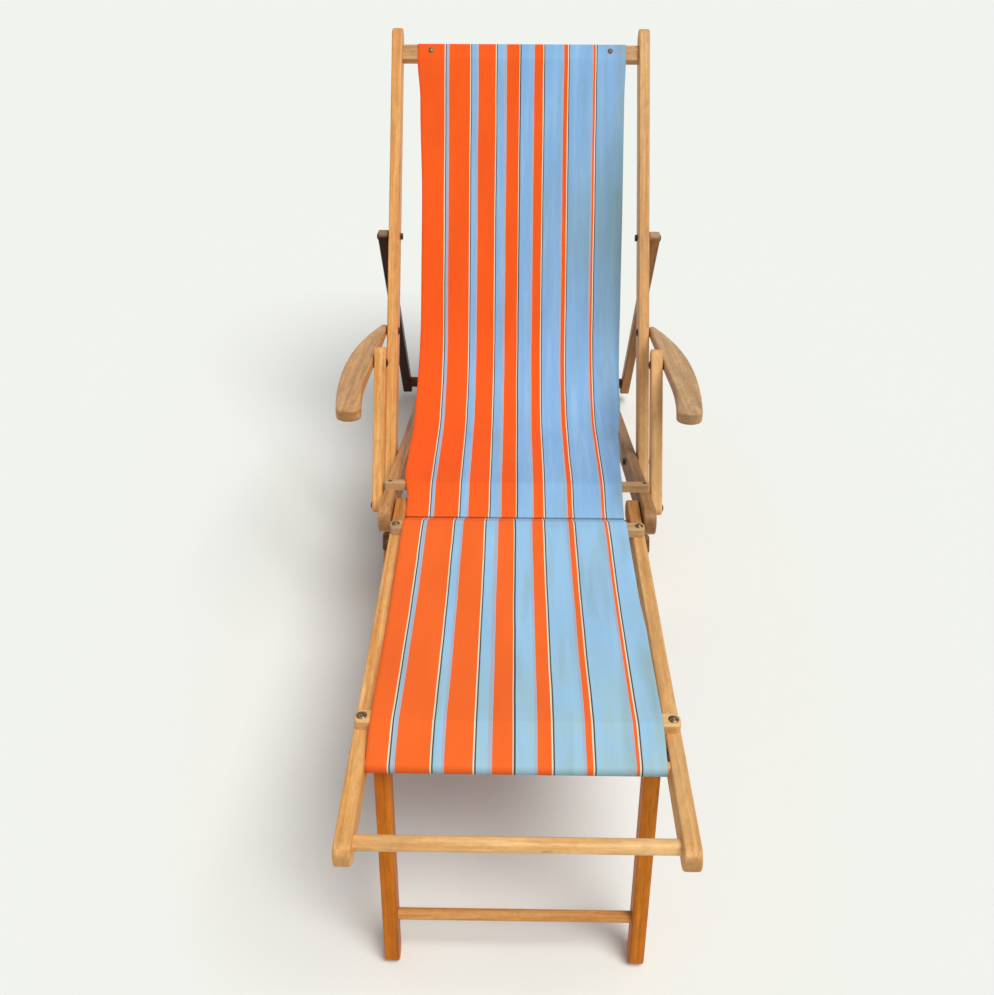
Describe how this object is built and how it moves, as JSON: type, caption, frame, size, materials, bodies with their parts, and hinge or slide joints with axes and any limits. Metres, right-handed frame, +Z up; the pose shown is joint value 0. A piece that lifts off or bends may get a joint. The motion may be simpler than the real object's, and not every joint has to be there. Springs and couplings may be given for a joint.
{
  "type": "steamer deck chair",
  "caption": "Folding steamer deck chair in wood with a striped canvas sling, flat arms, a rear prop that drops into notches and a hinged footrest on folding legs.",
  "frame": {"origin": "on the floor, midway along and across the chair", "axes": "+X across the chair, +Y from the footrest to the back, +Z up"},
  "size_m": [0.6404, 1.6576, 0.9213],
  "materials": {
    "varnished_wood": "worn varnish, satin",
    "dark_wood": "old dark varnish, satin",
    "weathered_wood": "varnish worn off, matt and greyish",
    "iron": "dark, lightly rusted",
    "brass": "tarnished",
    "canvas": "woven cotton canvas in orange and light blue stripes"
  },
  "bodies": {
    "seat_frame": {"seat_rail_left": "varnished_wood", "seat_rail_right": "varnished_wood", "seat_crossbar": "varnished_wood", "seat_rear_dowel": "dark_wood", "crossbar_screws": "brass", "back_pivot_bolts": "iron", "back_pivot_nuts": "iron", "back_pivot_washers": "iron", "post_pivot_bolts": "iron", "post_pivot_nuts": "iron", "post_pivot_washers": "iron", "canvas_seat": "canvas"},
    "back_frame": {"back_rail_left": "varnished_wood", "back_rail_right": "varnished_wood", "top_bar": "varnished_wood", "back_foot_lath": "dark_wood", "back_lath_screws": "brass", "prop_pivot_bolts": "iron", "prop_pivot_nuts": "iron", "prop_pivot_washers": "iron", "canvas_tacks": "brass"},
    "prop": {"prop_leg_left": "dark_wood", "prop_leg_right": "dark_wood", "prop_bar": "dark_wood"},
    "arm_left": {"arm_left": "weathered_wood", "arm_screws_left": "iron", "arm_washers_left": "iron"},
    "arm_right": {"arm_right": "weathered_wood", "arm_screws_right": "iron", "arm_washers_right": "iron"},
    "post_left": {"arm_post_left": "varnished_wood"},
    "post_right": {"arm_post_right": "varnished_wood"},
    "footrest": {"footrest_rail_left": "varnished_wood", "footrest_rail_right": "varnished_wood", "rear_lath": "weathered_wood", "knee_lath": "weathered_wood", "lath_screws": "brass", "lath_cups": "brass", "canvas_bar": "varnished_wood", "front_dowel": "varnished_wood", "hinge_bar": "varnished_wood", "hinge_screws": "iron", "hinge_washers": "iron", "leg_pivot_bolts": "iron", "leg_pivot_nuts": "iron", "leg_pivot_spacers": "iron", "canvas_footrest": "canvas"},
    "footrest_legs": {"footrest_leg_left": "varnished_wood", "footrest_leg_right": "varnished_wood", "leg_dowel": "varnished_wood"}
  },
  "joints": [
    {"name": "back_fold", "type": "hinge", "parent": "seat_frame", "child": "back_frame", "pos_m": [0, 0.20739, 0.232], "axis": [1, 0, 0], "range_deg": [0, 98], "deforming": ["canvas_seat"]},
    {"name": "prop_swing", "type": "hinge", "parent": "back_frame", "child": "prop", "pos_m": [0, 0.52331, 0.58003], "axis": [1, 0, 0], "range_deg": [-57, 0]},
    {"name": "arm_left_pivot", "type": "hinge", "parent": "back_frame", "child": "arm_left", "pos_m": [-0.271, 0.38197, 0.43537], "axis": [1, 0, 0], "range_deg": [-98, 0]},
    {"name": "arm_right_pivot", "type": "hinge", "parent": "back_frame", "child": "arm_right", "pos_m": [0.271, 0.38197, 0.43537], "axis": [1, 0, 0], "range_deg": [-98, 0]},
    {"name": "post_left_pivot", "type": "hinge", "parent": "seat_frame", "child": "post_left", "pos_m": [-0.271, -0.01103, 0.2861], "axis": [1, 0, 0], "range_deg": [0, 98]},
    {"name": "post_right_pivot", "type": "hinge", "parent": "seat_frame", "child": "post_right", "pos_m": [0.271, -0.01103, 0.2861], "axis": [1, 0, 0], "range_deg": [0, 98]},
    {"name": "footrest_fold", "type": "hinge", "parent": "seat_frame", "child": "footrest", "pos_m": [0, -0.09294, 0.3114], "axis": [1, 0, 0], "range_deg": [0, 90]},
    {"name": "footrest_legs_fold", "type": "hinge", "parent": "footrest", "child": "footrest_legs", "pos_m": [0, -0.65181, 0.37338], "axis": [1, 0, 0], "range_deg": [0, 93]}
  ],
  "couplings": [
    {"joint": "prop_swing", "follows": "back_fold", "ratio": -0.58},
    {"joint": "arm_left_pivot", "follows": "back_fold", "ratio": -1},
    {"joint": "arm_right_pivot", "follows": "back_fold", "ratio": -1},
    {"joint": "post_left_pivot", "follows": "back_fold", "ratio": 1},
    {"joint": "post_right_pivot", "follows": "back_fold", "ratio": 1}
  ]
}
